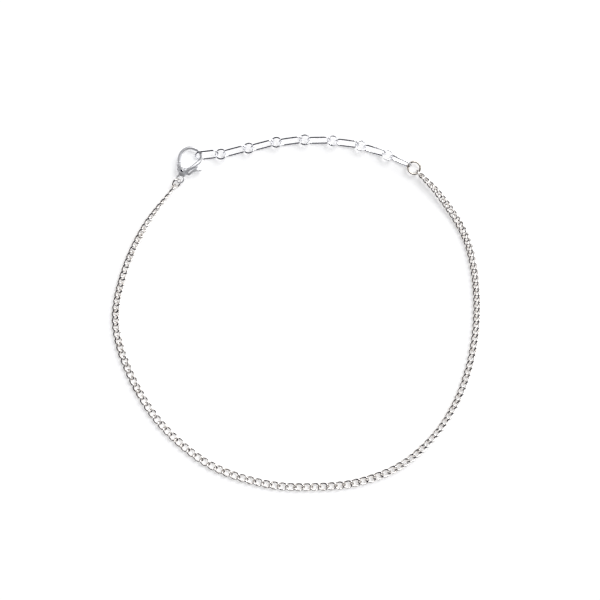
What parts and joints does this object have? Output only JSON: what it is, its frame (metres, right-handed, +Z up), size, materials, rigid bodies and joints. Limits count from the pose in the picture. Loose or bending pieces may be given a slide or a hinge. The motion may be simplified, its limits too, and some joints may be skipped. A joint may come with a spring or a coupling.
{
  "type": "chain anklet",
  "caption": "Curb chain anklet lying closed, with a lobster clasp hooked on an extender of long ovals and round rings.",
  "frame": {"origin": "middle of the underside, on the surface that the anklet lies on", "axes": "+Z up from the surface, +X along the loop's longest width, +Y towards the extender chain"},
  "size_m": [0.084, 0.081, 0.0025],
  "materials": {
    "bright_silver": "polished silver plate",
    "soft_silver": "polished silver plate, a little worn between the links",
    "dark_silver": "silver plate, tarnished to a brownish grey"
  },
  "bodies": {
    "anklet": {"clasp_body": "bright_silver", "clasp_pin": "bright_silver", "clasp_jump_ring": "soft_silver", "end_jump_ring": "dark_silver", "chain_right": "soft_silver", "chain_left": "soft_silver", "extender_oval_1": "bright_silver", "extender_oval_2": "bright_silver", "extender_oval_3": "bright_silver", "extender_oval_4": "bright_silver", "extender_oval_5": "bright_silver", "extender_oval_6": "bright_silver", "extender_oval_7": "bright_silver", "extender_oval_8": "bright_silver", "extender_ring_1": "bright_silver", "extender_ring_2": "bright_silver", "extender_ring_3": "bright_silver", "extender_ring_4": "bright_silver", "extender_ring_5": "bright_silver", "extender_ring_6": "bright_silver", "extender_ring_7": "bright_silver"},
    "lever": {"clasp_lever": "bright_silver"}
  },
  "joints": [
    {"name": "clasp_lever_swing", "type": "hinge", "parent": "anklet", "child": "lever", "pos_m": [-0.02596, 0.03216, 0.001], "axis": [0, 0, -1], "range_deg": [0, 22], "stiffness_Nm_per_rad": 0.002}
  ]
}
